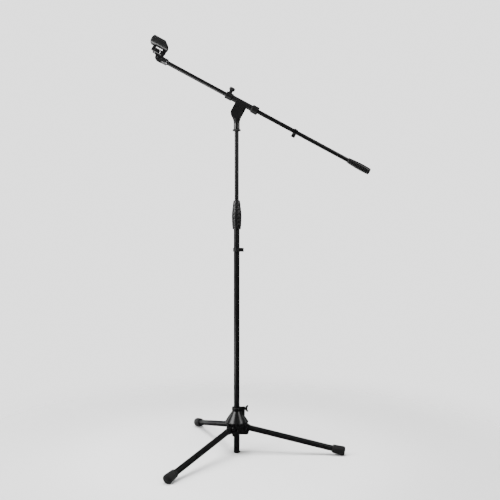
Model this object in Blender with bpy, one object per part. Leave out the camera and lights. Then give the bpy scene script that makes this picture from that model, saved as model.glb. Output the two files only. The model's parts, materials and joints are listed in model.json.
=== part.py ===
"""A boom microphone stand: a folding tripod, a telescopic pole, a tilting boom and a spring microphone clip.

Metres, +Z up. The origin is on the floor under the pole, on the pole's axis. The boom lies in the XZ plane,
its microphone end towards -X. Every moving group hangs from an empty that stands on its joint's axis.
"""

import bpy
import bmesh
import numpy as np
from math import cos, sin, pi, radians
from mathutils import Matrix, Vector

MM = 0.001

# Tripod
LEG_AZIMUTHS = {"right": -4.8, "left": -124.8, "rear": 115.2}
LEG_SLOPE = radians(12.7)
LEG_APEX_Z = 104.8 * MM
LEG_TUBE_R = 10.75 * MM
LEG_PIVOT_R = 34 * MM
LEG_PIVOT_Z = 93 * MM
LEG_END = 411 * MM
FOOT_LENGTH = 46 * MM
WING_BOLT_Z = 165 * MM

# Pole
LOWER_TUBE_R = 11 * MM
LOWER_TUBE_TOP = 868 * MM
UPPER_TUBE_R = 8 * MM
UPPER_TUBE_Z = (440 * MM, 1199.2 * MM)
CLUTCH_Z = (834 * MM, 942 * MM)
POLE_CLIP_Z = 758 * MM

# Head and boom
PIVOT_Z = 1268.5 * MM
DISC_R = 22.7 * MM
BOOM_TILT = radians(28.3)
BOOM_RISE = 41.5 * MM
BOOM_R = 8 * MM
BOOM_FRONT = 315 * MM
BOOM_REAR = 541 * MM
LOCK_AT = 56.5 * MM
BOOM_CLIP_AT = -226 * MM

# Microphone clip, measured forward from the tilt pivot of the head and up from the boom's axis
CLIP_PIVOT_AT = 353 * MM
JAW_PIN_AT = 368 * MM
JAW_PIN_RISE = 25 * MM
SHELL_RISE = 51 * MM
SHELL_R = 19.3 * MM
SHELL_WALL = 2.4 * MM

ROUND = 24


def clear_scene():
    for thing in list(bpy.data.objects):
        bpy.data.objects.remove(thing, do_unlink=True)


def material(name, colour, roughness, metallic=0.0):
    found = bpy.data.materials.get(name)
    if found:
        return found
    made = bpy.data.materials.new(name)
    made.use_nodes = True
    shader = made.node_tree.nodes["Principled BSDF"]
    shader.inputs["Base Color"].default_value = (*colour, 1)
    shader.inputs["Roughness"].default_value = roughness
    shader.inputs["Metallic"].default_value = metallic
    return made


def powder_coat():
    return material("powder_coat", (0.015, 0.015, 0.016), 0.38)


def hub_plastic():
    return material("hub_plastic", (0.018, 0.018, 0.019), 0.22)


def moulded_plastic():
    return material("moulded_plastic", (0.022, 0.022, 0.024), 0.5)


def clip_plastic():
    return material("clip_plastic", (0.03, 0.03, 0.032), 0.4)


def rubber():
    return material("rubber", (0.02, 0.02, 0.02), 0.75)


def steel():
    return material("steel", (0.55, 0.55, 0.56), 0.3, 1.0)


def dark_steel():
    return material("dark_steel", (0.06, 0.06, 0.065), 0.35, 1.0)


def brass():
    return material("brass", (0.72, 0.52, 0.2), 0.35, 1.0)


def pivot(name, location=(0, 0, 0), rotation=(0, 0, 0), parent=None):
    """An empty on a joint's axis; location and rotation are under its parent."""
    empty = bpy.data.objects.new(name, None)
    bpy.context.collection.objects.link(empty)
    empty.parent = parent
    empty.location = location
    empty.rotation_euler = rotation
    return empty


def add(name, bm, finish, parent=None, location=(0, 0, 0), rotation=(0, 0, 0)):
    """Turn a bmesh into a named object with outward faces."""
    bmesh.ops.recalc_face_normals(bm, faces=bm.faces)
    mesh = bpy.data.meshes.new(name)
    bm.to_mesh(mesh)
    bm.free()
    mesh.materials.append(finish)
    mesh.shade_smooth()
    mesh.set_sharp_from_angle(angle=radians(35))
    thing = bpy.data.objects.new(name, mesh)
    bpy.context.collection.objects.link(thing)
    thing.parent = parent
    thing.location = location
    thing.rotation_euler = rotation
    return thing


def turned(profile, sides=ROUND, centre=(0, 0)):
    """Revolve (radius, height) points about Z. The outline closes on itself; a zero radius is a pole."""
    bm = bmesh.new()
    rings = []
    for radius, height in profile:
        if radius < 1e-7:
            rings.append([bm.verts.new((centre[0], centre[1], height))])
            continue
        angles = [2 * pi * k / sides for k in range(sides)]
        ring = [(centre[0] + radius * cos(a), centre[1] + radius * sin(a), height) for a in angles]
        rings.append([bm.verts.new(point) for point in ring])
    for low, high in zip(rings, rings[1:] + rings[:1]):
        if len(low) == 1 and len(high) == 1:
            continue
        for k in range(sides):
            after = k + 1
            corners = [low[k % len(low)], low[after % len(low)], high[after % len(high)], high[k % len(high)]]
            bm.faces.new(list(dict.fromkeys(corners)))
    return bm


def tube(inner, outer, low, high, chamfer=0.0, sides=ROUND):
    """A pipe or, with no inner radius, a bar, its outer rims chamfered."""
    outside = [(outer, low), (outer, high)]
    if chamfer:
        outside = [(outer - chamfer, low), (outer, low + chamfer),
                   (outer, high - chamfer), (outer - chamfer, high)]
    return turned([(inner, low)] + outside + [(inner, high)], sides)


def extruded(outline, low, high, plane="XY"):
    """A prism: a closed outline in a plane, extruded from low to high along the third axis."""
    place = {
        "XY": lambda a, b, c: (a, b, c),
        "XZ": lambda a, b, c: (a, c, b),
        "YZ": lambda a, b, c: (c, a, b),
    }[plane]
    bm = bmesh.new()
    floor = [bm.verts.new(place(a, b, low)) for a, b in outline]
    roof = [bm.verts.new(place(a, b, high)) for a, b in outline]
    bm.faces.new(floor)
    bm.faces.new(roof)
    for k in range(len(outline)):
        after = (k + 1) % len(outline)
        bm.faces.new((floor[k], floor[after], roof[after], roof[k]))
    bmesh.ops.recalc_face_normals(bm, faces=bm.faces)
    return bm


def block(low, high):
    outline = [(low[0], low[1]), (high[0], low[1]), (high[0], high[1]), (low[0], high[1])]
    return extruded(outline, low[2], high[2])


def arc(radius, start, end, steps, centre=(0, 0)):
    """Points along a circle, angles in degrees."""
    angles = [radians(start + (end - start) * k / steps) for k in range(steps + 1)]
    return [(centre[0] + radius * cos(a), centre[1] + radius * sin(a)) for a in angles]


def moved(bm, shift=(0, 0, 0), turn=0.0, axis="Z"):
    bm.transform(Matrix.Translation(shift) @ Matrix.Rotation(turn, 4, axis))
    return bm


def combine(thing, bm, operation):
    """Cut or join a bmesh, given in the object's own coordinates, with an exact Boolean."""
    mesh = bpy.data.meshes.new("tool")
    bmesh.ops.recalc_face_normals(bm, faces=bm.faces)
    bm.to_mesh(mesh)
    bm.free()
    tool = bpy.data.objects.new("tool", mesh)
    bpy.context.collection.objects.link(tool)
    tool.parent = thing
    modifier = thing.modifiers.new("combine", "BOOLEAN")
    modifier.operation = operation
    modifier.solver = "EXACT"
    modifier.object = tool
    bpy.context.view_layer.update()
    evaluated = thing.evaluated_get(bpy.context.evaluated_depsgraph_get())
    result = bpy.data.meshes.new_from_object(evaluated)
    thing.modifiers.clear()
    finish = thing.data.materials[0]
    thing.data = result
    result.materials.clear()
    result.materials.append(finish)
    bpy.data.objects.remove(tool, do_unlink=True)
    return thing


def cut(thing, bm):
    return combine(thing, bm, "DIFFERENCE")


def join(thing, bm):
    return combine(thing, bm, "UNION")


def bar_along(axis, radius, start, end, across=(0, 0), sides=16):
    """A round bar along X or Y; across is its centre on the other two axes, in their order."""
    quarter_step = pi / sides / 2
    bm = moved(tube(0, radius, start, end, sides=sides), turn=quarter_step)
    if axis == "X":
        return moved(moved(bm, turn=pi / 2, axis="Y"), (0, across[0], across[1]))
    return moved(moved(bm, turn=-pi / 2, axis="X"), (across[0], 0, across[1]))


def cut_by_ground(thing):
    """Trim whatever reaches below the floor, leaving a flat pad."""
    bpy.context.view_layer.update()
    inwards = thing.matrix_world.inverted()
    floor, down = inwards @ Vector(), inwards.to_3x3() @ Vector((0, 0, -1))
    bm = bmesh.new()
    bm.from_mesh(thing.data)
    everything = bm.verts[:] + bm.edges[:] + bm.faces[:]
    trimmed = bmesh.ops.bisect_plane(bm, geom=everything, plane_co=floor, plane_no=down, clear_outer=True)
    rim = [edge for edge in trimmed["geom_cut"] if isinstance(edge, bmesh.types.BMEdge)]
    bmesh.ops.edgeloop_fill(bm, edges=rim)
    bmesh.ops.recalc_face_normals(bm, faces=bm.faces)
    bm.to_mesh(thing.data)
    bm.free()
    return thing


def build_pole():
    add("lower_tube", tube(9.8 * MM, LOWER_TUBE_R, 7 * MM, LOWER_TUBE_TOP), powder_coat())
    cap_outline = [(0, 0), (9.5, 0), (11, 1.5), (11, 6.7), (9.5, 6.7), (9.5, 22), (0, 22)]
    cap = add("pole_end_cap", turned([(r * MM, z * MM) for r, z in cap_outline]), moulded_plastic())
    join(cap, block((8 * MM, -2.5 * MM, 2.5 * MM), (14 * MM, 2.5 * MM, 6.5 * MM)))
    body = [(11.3, 838), (13.3, 838), (13.3, 898), (10.6, 898), (10.6, 868.3), (11.3, 868.3)]
    add("clutch_body", turned([(r * MM, z * MM) for r, z in body]), moulded_plastic())
    turning = pivot("clutch_axis")
    low, high = CLUTCH_Z
    outside = [(15.4, 0), (16.2, 5), (17.5, 20), (18.4, 40), (18.5, 49), (17.8, 64), (16, 79), (14.4, 94),
               (13, 104), (11.6, 108)]
    inside = [(8.5, 108), (8.5, 100), (12.9, 86), (13.7, 66), (13.7, 3), (12, 0)]
    grip = [(r * MM, low + z * MM) for r, z in outside + inside]
    add("clutch_grip", turned(grip), rubber(), turning)
    wedge = [(8.25, 899), (12.4, 899), (12.4, 914), (9.2, 930), (8.25, 930)]
    collet = add("clutch_collet", turned([(r * MM, z * MM) for r, z in wedge]), moulded_plastic())
    cut(collet, block((0, -0.8 * MM, 890 * MM), (20 * MM, 0.8 * MM, 940 * MM)))


def cable_clip(name, tube_r, ring_r, half_height, reach, half_width, axis):
    """An open ring that snaps on a tube, with a stub that holds a cable in an open channel."""
    body = tube(tube_r + 0.2 * MM, ring_r, -half_height, half_height)
    ring = add(name, body, clip_plastic(), axis)
    join(ring, block((tube_r + 1.2 * MM, -half_width, -half_height), (reach, half_width, half_height)))
    cut(ring, block((-5 * MM, 2 * MM, -0.02), (5 * MM, 25 * MM, 0.02)))
    channel_r = 3.6 * MM
    channel_x = reach - channel_r - 1.8 * MM
    cut(ring, moved(tube(0, channel_r, -0.02, 0.02, sides=16), (channel_x, 0, 0)))
    cut(ring, block((channel_x - 2.2 * MM, 0, -0.02), (channel_x + 2.2 * MM, 25 * MM, 0.02)))
    return ring


def build_hub():
    hub = pivot("hub_axis")
    drum = tube(11.3 * MM, 38 * MM, 80 * MM, 114.7 * MM, 1.2 * MM, sides=32)
    yoke = add("hub_yoke", drum, hub_plastic(), hub)
    for azimuth in LEG_AZIMUTHS.values():
        turn = radians(azimuth)
        join(yoke, moved(block((12 * MM, -15 * MM, 72 * MM), (46 * MM, 15 * MM, 108 * MM)), turn=turn))
    for azimuth in LEG_AZIMUTHS.values():
        turn = radians(azimuth)
        cut(yoke, moved(block((18.2 * MM, -11.3 * MM, 60 * MM), (70 * MM, 11.3 * MM, 112 * MM)), turn=turn))
        hole = bar_along("Y", 3.1 * MM, -20 * MM, 20 * MM, (LEG_PIVOT_R, LEG_PIVOT_Z), 12)
        cut(yoke, moved(hole, turn=turn))
        for start, end in ((-24, -14.9), (14.9, 24)):
            pocket = bar_along("Y", 5.6 * MM, start * MM, end * MM, (LEG_PIVOT_R, LEG_PIVOT_Z), 12)
            cut(yoke, moved(pocket, turn=turn))
    outside = [(44, 115), (44, 118), (17.2, 158), (18.3, 159), (18.3, 170), (17.3, 171)]
    inside = [(11.3, 171), (11.3, 150), (38, 118), (38, 115)]
    shell = [(r * MM, z * MM) for r, z in outside + inside]
    cone = add("hub_cone", turned(shell, 32), hub_plastic(), hub)
    join(cone, block((14 * MM, -6.5 * MM, 140 * MM), (31 * MM, 6.5 * MM, 172 * MM)))
    hollow = [(0, 117), (38, 117), (38, 118), (11.6, 149.6), (0, 149.6)]
    cut(cone, turned([(r * MM, z * MM) for r, z in hollow], 32))
    cut(cone, bar_along("X", 3.3 * MM, 0, 40 * MM, (0, WING_BOLT_Z)))
    pad = bar_along("X", 2.9 * MM, 11.3 * MM, 13.2 * MM, (0, WING_BOLT_Z))
    add("hub_clamp_pad", pad, brass(), hub)
    build_wing_bolt(hub)


def build_wing_bolt(hub):
    """A bolt along X; its wings flare outwards above and below the axis."""
    turning = pivot("wing_bolt_axis", (0, 0, WING_BOLT_Z), (0, 0, 0), hub)
    bolt = add("wing_bolt", bar_along("X", 3 * MM, 13.6 * MM, 37 * MM), moulded_plastic(), turning)
    join(bolt, bar_along("X", 5.2 * MM, 31.4 * MM, 40 * MM))
    upper = [(33, 2), (38.5, 1), (40, 4), (43.6, 9), (44, 11.6), (42, 12.6), (39, 11), (35, 6)]
    for side in (1, -1):
        wing = extruded([(x * MM, side * z * MM) for x, z in upper], -2 * MM, 2 * MM, "XZ")
        join(bolt, wing)
    return bolt


def build_leg(name, azimuth, hub):
    """A hinged leg: its empty stands on the rivet, local Z along the leg, local -X upwards."""
    turn = radians(azimuth)
    place = (LEG_PIVOT_R * cos(turn), LEG_PIVOT_R * sin(turn), LEG_PIVOT_Z)
    drop = LEG_APEX_Z - LEG_PIVOT_Z
    start = LEG_PIVOT_R * cos(LEG_SLOPE) + drop * sin(LEG_SLOPE)
    rise = drop * cos(LEG_SLOPE) - LEG_PIVOT_R * sin(LEG_SLOPE)
    foot_end = LEG_END - start
    hinge = pivot(f"leg_hinge_{name}", place, (0, pi / 2 + LEG_SLOPE, turn), hub)
    on_axis = (-rise, 0, 0)
    shaft = tube(9.6 * MM, LEG_TUBE_R, 12.3 * MM, foot_end - 5 * MM)
    add(f"leg_tube_{name}", shaft, powder_coat(), hinge, on_axis)
    swing = 15.2 * MM
    outline = [(-swing, 12 * MM)] + [(-swing * cos(a), -swing * sin(a)) for a in np.linspace(0, pi / 2, 7)]
    outline += [(8 * MM, -11 * MM), (8 * MM, 12 * MM)]
    knuckle = extruded(outline, -10.9 * MM, 10.9 * MM, "XZ")
    end = add(f"leg_end_{name}", knuckle, moulded_plastic(), hinge)
    join(end, moved(tube(0, 9.2 * MM, 11 * MM, 42 * MM), (-rise, 0, 0)))
    cut(end, bar_along("Y", 3.1 * MM, -20 * MM, 20 * MM))
    low = foot_end - FOOT_LENGTH
    outside = [(11.05, 0), (13.6, 0), (14.4, 1.4), (14.6, 21), (16.4, 24.5), (17, 27), (17, 40), (16, 44),
               (13.6, 46), (0, 46)]
    socket = [(0, 41.3), (11.05, 41.3)]
    sleeve = turned([(r * MM, low + z * MM) for r, z in outside + socket])
    cut_by_ground(add(f"foot_{name}", sleeve, rubber(), hinge, on_axis))
    rivet = [(0, -17.5), (4.5, -17.5), (5, -16.8), (5, -15.3), (2.8, -15.3),
             (2.8, 15.3), (5, 15.3), (5, 16.8), (4.5, 17.5), (0, 17.5)]
    pin = moved(turned([(r * MM, z * MM) for r, z in rivet], 14), turn=pi / 2, axis="X")
    add(f"leg_rivet_{name}", pin, dark_steel(), hub, place, (0, 0, turn))


def build_upper_pole():
    """The inner tube, the guide at its foot and the threaded spigot in its top."""
    rising = pivot("height_axis")
    low, high = UPPER_TUBE_Z
    add("upper_tube", tube(7 * MM, UPPER_TUBE_R, low, high), powder_coat(), rising)
    outline = [(0, -3), (9.5, -3), (9.5, 24), (8.3, 24), (8.3, -0.3), (0, -0.3)]
    add("upper_tube_guide", turned([(r * MM, low + z * MM) for r, z in outline]), moulded_plastic(), rising)
    stud = [(0, -22), (6.7, -22), (6.7, 0.3), (8, 0.3), (8, 0.9), (4.76, 0.9), (4.76, 24), (4, 25), (0, 25)]
    add("top_stud", turned([(r * MM, high + z * MM) for r, z in stud]), steel(), rising)
    ring_axis = pivot("lock_ring_axis", parent=rising)
    ring = tube(5.1 * MM, 15.3 * MM, 1200.4 * MM, 1206.5 * MM, 0.8 * MM)
    add("lock_ring", ring, moulded_plastic(), ring_axis)
    return rising


def build_neck(turning):
    """The lower half of the tilt head: a socket on the thread that widens into the front disc."""
    outside = [(11.2, 1206.8), (11.2, 1231), (12.2, 1238), (14.6, 1245), (17.6, 1252), (20.4, 1259),
               (22.3, 1265), (22.3, 1272)]
    inside = [(0, 1272), (0, 1226), (5.1, 1226), (5.1, 1206.8)]
    socket = turned([(r * MM, z * MM) for r, z in outside + inside])
    neck = add("head_neck", socket, moulded_plastic(), turning)
    join(neck, bar_along("Y", DISC_R, -14 * MM, -2 * MM, (0, PIVOT_Z), 28))
    cut(neck, block((-0.05, -1.3 * MM, 1244.5 * MM), (0.05, 0.05, 1300 * MM)))
    cut(neck, block((-0.05, -0.05, 1200 * MM), (0.05, -14 * MM, 1300 * MM)))
    cut(neck, bar_along("Y", 3.3 * MM, -10.3 * MM, 5 * MM, (0, PIVOT_Z)))
    return neck


def build_boom_clamp(tilting):
    """The upper half of the tilt head: the rear disc, a block over both discs and the sleeve for the boom."""
    half = 22.6 * MM
    top = BOOM_RISE - 1.3 * MM
    slab = arc(DISC_R, 90, 270, 20) + [(top, -half), (top, half)]
    clamp = add("boom_clamp", extruded(slab, 0.3 * MM, 13 * MM, "XZ"), moulded_plastic(), tilting)
    saddle = arc(DISC_R + 0.9 * MM, -41, 73, 14)
    saddle += [(top + 0.4 * MM, half - 0.2 * MM), (top + 0.4 * MM, -half + 0.2 * MM)]
    join(clamp, extruded(saddle, -12.8 * MM, 0.8 * MM, "XZ"))
    sleeve = [(0, -68), (13, -68), (15.5, -65.5), (15.5, -43.5), (13, -41), (11.2, -41),
              (11.2, 40.6), (12.4, 40.6), (13.6, 41.8), (13.6, 66.5), (12.1, 68), (0, 68)]
    join(clamp, moved(turned([(r * MM, z * MM) for r, z in sleeve]), (BOOM_RISE, 0, 0)))
    join(clamp, bar_along("X", 6.8 * MM, BOOM_RISE + 8 * MM, BOOM_RISE + 20.3 * MM, (0, LOCK_AT), 18))
    cut(clamp, bar_along("X", 2.9 * MM, BOOM_RISE + 3 * MM, BOOM_RISE + 40 * MM, (0, LOCK_AT), 14))
    cut(clamp, bar_along("Y", 3.3 * MM, -5 * MM, 20 * MM))
    cut(clamp, moved(tube(0, 8.35 * MM, -0.1, 0.1), (BOOM_RISE, 0, 0)))


def build_head(rising):
    """The tilt head. The boom's frame has local Z forward along the boom and local X up from it."""
    turning = pivot("head_axis", parent=rising)
    build_neck(turning)
    tilting = pivot("boom_tilt_axis", (0, 0, PIVOT_Z), (0, BOOM_TILT - pi / 2, 0), turning)
    ring = tube(5 * MM, 20 * MM, -1 * MM, -0.1 * MM)
    add("friction_disc", moved(ring, turn=-pi / 2, axis="X"), rubber(), tilting)
    build_boom_clamp(tilting)
    build_tilt_lock(tilting)
    build_boom_lock(tilting)
    return tilting


def lobed(radius, depth, lobes, low, high):
    """A hand knob: a prism whose rim waves in and out, facing along local Z."""
    count = lobes * 6
    outline = []
    for k in range(count):
        angle = 2 * pi * k / count
        reach = radius - depth * (0.5 - 0.5 * cos(lobes * angle))
        outline.append((reach * cos(angle), reach * sin(angle)))
    return extruded(outline, low, high)


def build_tilt_lock(tilting):
    bolt = bar_along("Y", 3 * MM, -10 * MM, 24 * MM)
    add("tilt_bolt", bolt, steel(), tilting)
    washer = tube(3.4 * MM, 9 * MM, 13.3 * MM, 14.5 * MM)
    add("tilt_washer", moved(washer, turn=-pi / 2, axis="X"), steel(), tilting)
    turning = pivot("tilt_knob_axis", parent=tilting)
    knob = add("tilt_knob", moved(lobed(17 * MM, 3 * MM, 6, 20 * MM, 34 * MM), turn=-pi / 2, axis="X"),
               moulded_plastic(), turning)
    join(knob, bar_along("Y", 8 * MM, 14.8 * MM, 22 * MM))
    cut(knob, bar_along("Y", 3.3 * MM, 10 * MM, 25 * MM))


def build_boom_lock(tilting):
    turning = pivot("thumb_knob_axis", (BOOM_RISE, 0, LOCK_AT), (0, pi / 2, 0), tilting)
    knob = [(0, 9.7), (2.5, 9.7), (2.5, 20.7), (6, 20.7), (10, 22.5), (11, 24), (11, 32.5), (10, 34), (0, 34)]
    add("thumb_knob", turned([(r * MM, z * MM) for r, z in knob]), moulded_plastic(), turning)
    add("boom_clamp_pad", tube(0, 2.5 * MM, 8.35 * MM, 9.4 * MM, sides=20), brass(), tilting,
        (BOOM_RISE, 0, LOCK_AT), (0, pi / 2, 0))


def build_boom(tilting):
    sliding = pivot("boom_slide_axis", (BOOM_RISE, 0, 0), parent=tilting)
    add("boom_tube", tube(7 * MM, BOOM_R, -BOOM_REAR + 6 * MM, BOOM_FRONT), powder_coat(), sliding)
    front = [(0, -22), (6.7, -22), (6.7, 0.3), (8, 0.3), (8, 0.9), (4.76, 0.9), (4.76, 17), (4, 18), (0, 18)]
    stud = turned([(r * MM, BOOM_FRONT + z * MM) for r, z in front])
    add("boom_stud", stud, steel(), sliding)
    washer_low = BOOM_FRONT + 1.2 * MM
    washer = tube(5.1 * MM, 12.5 * MM, washer_low, washer_low + 2.6 * MM, 0.6 * MM)
    add("boom_end_washer", washer, steel(), sliding)
    outside = [(0, 0), (9.5, 0), (11.8, 1.5), (12.6, 5), (13.3, 20), (13.5, 35), (13, 55), (11.8, 74),
               (10.4, 88), (9.6, 92)]
    inside = [(8.3, 92), (8.3, 5.7), (0, 5.7)]
    grip = [(r * MM, -BOOM_REAR + z * MM) for r, z in outside + inside]
    add("boom_grip", turned(grip), rubber(), sliding)
    clip_axis = pivot("boom_cable_clip_axis", (0, 0, BOOM_CLIP_AT), (0, 0, pi), sliding)
    cable_clip("boom_cable_clip", BOOM_R, 10.6 * MM, 7.5 * MM, 22.6 * MM, 5.5 * MM, clip_axis)
    return sliding


def build_clip(sliding):
    """The microphone clip: a base that screws on the boom's thread, a tilting stem and two sprung jaws."""
    turning = pivot("clip_swivel_axis", parent=sliding)
    low = BOOM_FRONT + 4.2 * MM
    base = add("clip_base", tube(7.7 * MM, 12.3 * MM, low, low + 17 * MM, 1 * MM), clip_plastic(), turning)
    join(base, tube(0, 12.3 * MM, low + 16 * MM, low + 22 * MM))
    ear = [(-12, 340), (-12, 353)]
    ear += [(-12 * cos(a), 353 + 12 * sin(a)) for a in np.linspace(pi / 8, pi, 8)] + [(12, 340)]
    join(base, extruded([(x * MM, z * MM) for x, z in ear], -12 * MM, 12 * MM, "XZ"))
    cut(base, block((-0.05, -6.2 * MM, 340.6 * MM), (0.05, 6.2 * MM, 0.4)))
    cut(base, bar_along("Y", 2.6 * MM, -20 * MM, 20 * MM, (0, CLIP_PIVOT_AT)))
    add("thread_insert", tube(5 * MM, 7.4 * MM, low + 0.3 * MM, low + 15.6 * MM), brass(), turning)
    screw = [(0, -14.6), (4, -14.6), (4.4, -12.3), (2.3, -12.3),
             (2.3, 12.3), (4.4, 12.3), (4, 14.6), (0, 14.6)]
    pin = moved(turned([(r * MM, z * MM) for r, z in screw], 14), turn=pi / 2, axis="X")
    add("clip_tilt_screw", pin, dark_steel(), turning, (0, 0, CLIP_PIVOT_AT))
    tilting = pivot("clip_tilt_axis", (0, 0, CLIP_PIVOT_AT), parent=turning)
    ahead = JAW_PIN_AT - CLIP_PIVOT_AT
    rise = JAW_PIN_RISE
    stem_outline = [(-8.5 * MM * sin(a), -8.5 * MM * cos(a)) for a in np.linspace(-0.4 * pi, 0.6 * pi, 9)]
    stem_outline += [(9 * MM, ahead + 5.7 * MM), (15 * MM, ahead + 5.7 * MM), (15 * MM, ahead - 5.7 * MM)]
    stem = add("clip_stem", extruded(stem_outline, -5.8 * MM, 5.8 * MM, "XZ"), clip_plastic(), tilting)
    join(stem, block((12 * MM, -3.4 * MM, ahead - 5.5 * MM), (rise, 3.4 * MM, ahead + 5.5 * MM)))
    join(stem, moved(tube(0, 3.7 * MM, ahead - 5.7 * MM, ahead + 5.7 * MM, sides=24), (rise, 0, 0)))
    cut(stem, bar_along("Y", 2.6 * MM, -20 * MM, 20 * MM))
    cut(stem, moved(tube(0, 2.1 * MM, -0.05, 0.1, sides=20), (rise, 0, 0)))
    pin = tube(0, 1.8 * MM, ahead - 30 * MM, ahead + 23.5 * MM, sides=20)
    add("jaw_pin", pin, dark_steel(), tilting, (rise, 0, 0))
    spring = tube(2.2 * MM, 3.5 * MM, ahead - 17.4 * MM, ahead - 6.2 * MM, sides=20)
    add("jaw_spring", spring, steel(), tilting, (rise, 0, 0))
    for name, side in (("front", -1), ("rear", 1)):
        build_jaw(name, side, tilting, ahead, rise)


def build_jaw(name, side, tilting, ahead, rise):
    """One jaw: half a sleeve above the pin, a squeeze handle with two windows below it and two knuckles."""
    hinge = pivot(f"jaw_hinge_{name}", (rise, 0, 0), parent=tilting)
    height = (SHELL_RISE - JAW_PIN_RISE) / MM
    outer, inner = SHELL_R / MM, (SHELL_R - SHELL_WALL) / MM
    section = [(height + x, y) for x, y in arc(outer, 14, 160, 14)]
    section += [(6.4, 5.4), (3.5, 5.4), (-13, 25), (-15, 23.4), (-1.6, 4.3), (4.6, 0.6), (8.9, 0.6)]
    section += [(height + x, y) for x, y in arc(inner, 171, 14, 14)]
    low, high = ahead - 30.5 * MM, ahead + 40 * MM
    shape = extruded([(x * MM, y * MM) for x, y in section], low, high)
    jaw = add(f"clip_jaw_{name}", shape, clip_plastic(), hinge)
    front = [(-20, 18), (-16, 18.5), (0, 22.9), (7.6, 22.9), (7.6, 33.5), (12, 37.5), (18, 39.5),
             (31, 39.5), (48, 35), (48, 60), (-20, 60)]
    rear = [(-20, -20), (0, -30), (18, -30), (25, -28), (30, -25.5), (35.5, -20), (41, -13), (48, -4),
            (48, -60), (-20, -60)]
    for waste in (front, rear):
        cut(jaw, extruded([(x * MM, ahead + z * MM) for x, z in waste], -0.05, 0.05, "XZ"))
    cut(jaw, tube(0, 4.2 * MM, low - 0.01, high + 0.01, sides=24))
    slit, front_window, rear_window = (4.3, 10.1, -15.8, 12.6), (-12, 0.5, 7.5, 12.2), (-12, 0.5, -14.5, -6.5)
    for bottom, top, start, end in (slit, front_window, rear_window):
        cut(jaw, block((bottom * MM, -30 * MM, ahead + start * MM), (top * MM, 30 * MM, ahead + end * MM)))
    knuckles = {"front": ((13, 17.5), (-23.4, -18)), "rear": ((18, 22.5), (-29.2, -23.8))}
    for start, end in knuckles[name]:
        join(jaw, tube(0, 3.7 * MM, ahead + start * MM, ahead + end * MM, sides=24))
        web = [(x * MM, y * MM) for x, y in ((0.3, 1.2), (0.3, 3.3), (6.1, 3.3), (6.1, 1.2))]
        join(jaw, extruded(web, ahead + start * MM, ahead + end * MM))
    cut(jaw, tube(0, 2.1 * MM, low - 0.01, high + 0.01, sides=20))
    if side < 0:
        jaw.data.transform(Matrix.Scale(-1, 4, (0, 1, 0)))
        jaw.data.flip_normals()
    return jaw


def main():
    clear_scene()
    build_pole()
    clip_axis = pivot("pole_cable_clip_axis", (0, 0, POLE_CLIP_Z))
    cable_clip("pole_cable_clip", LOWER_TUBE_R, 14 * MM, 7.3 * MM, 26.4 * MM, 5 * MM, clip_axis)
    build_hub()
    hub = bpy.data.objects["hub_axis"]
    for name, azimuth in LEG_AZIMUTHS.items():
        build_leg(name, azimuth, hub)
    rising = build_upper_pole()
    tilting = build_head(rising)
    sliding = build_boom(tilting)
    build_clip(sliding)
    bpy.context.view_layer.update()


main()
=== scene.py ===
"""The looks of the boom microphone stand: fine pieces and procedural materials around the fixed CAD frame."""

import json
from math import acos, asin, atan2, cos, degrees, hypot, pi, radians, sin

import bpy
import bmesh
import numpy as np
from mathutils import Matrix, Vector


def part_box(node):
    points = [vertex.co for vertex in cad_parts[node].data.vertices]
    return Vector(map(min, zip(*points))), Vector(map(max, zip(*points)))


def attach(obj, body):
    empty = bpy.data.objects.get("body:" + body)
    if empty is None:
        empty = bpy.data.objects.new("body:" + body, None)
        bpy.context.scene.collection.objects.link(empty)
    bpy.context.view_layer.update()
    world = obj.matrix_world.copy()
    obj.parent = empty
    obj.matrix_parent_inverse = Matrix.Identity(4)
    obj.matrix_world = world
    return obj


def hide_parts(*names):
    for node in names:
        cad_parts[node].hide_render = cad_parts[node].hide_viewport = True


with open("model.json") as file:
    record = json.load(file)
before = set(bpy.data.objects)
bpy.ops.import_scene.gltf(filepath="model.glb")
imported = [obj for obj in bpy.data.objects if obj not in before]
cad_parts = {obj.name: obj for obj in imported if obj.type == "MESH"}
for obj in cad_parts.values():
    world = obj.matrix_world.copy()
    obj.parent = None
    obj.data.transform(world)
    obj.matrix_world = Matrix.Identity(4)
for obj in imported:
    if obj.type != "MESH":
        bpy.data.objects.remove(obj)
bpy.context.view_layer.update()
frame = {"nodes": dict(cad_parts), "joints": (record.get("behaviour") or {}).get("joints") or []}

MM = 0.001
JOINTS = {joint["name"]: joint for joint in frame["joints"]}


def joint_at(name):
    return Vector(JOINTS[name]["pos_m"])


def joint_axis(name):
    return Vector(JOINTS[name]["axis"]).normalized()


# The boom's frame: local Z forward along the boom, local X up from it, its origin on the tilt pivot.
PIVOT = joint_at("boom_tilt")
AHEAD = joint_axis("boom_slide")
UP = Vector((0, 1, 0)).cross(AHEAD).normalized()
BOOM_FRAME = Matrix.Translation(PIVOT) @ Matrix((UP, (0, 1, 0), AHEAD)).transposed().to_4x4()
BOOM_RISE = (joint_at("clip_tilt") - PIVOT).dot(UP)
CLIP_AHEAD = (joint_at("clip_tilt") - PIVOT).dot(AHEAD)
LOCK_AHEAD = (joint_at("thumb_knob_turn") - PIVOT).dot(AHEAD)
JAW_RISE = (joint_at("jaw_front_open") - PIVOT).dot(UP)
JAW_AHEAD = (joint_at("jaw_front_open") - PIVOT).dot(AHEAD)
BOOM_AXIS = BOOM_FRAME @ Matrix.Translation((BOOM_RISE, 0, 0))

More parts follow.
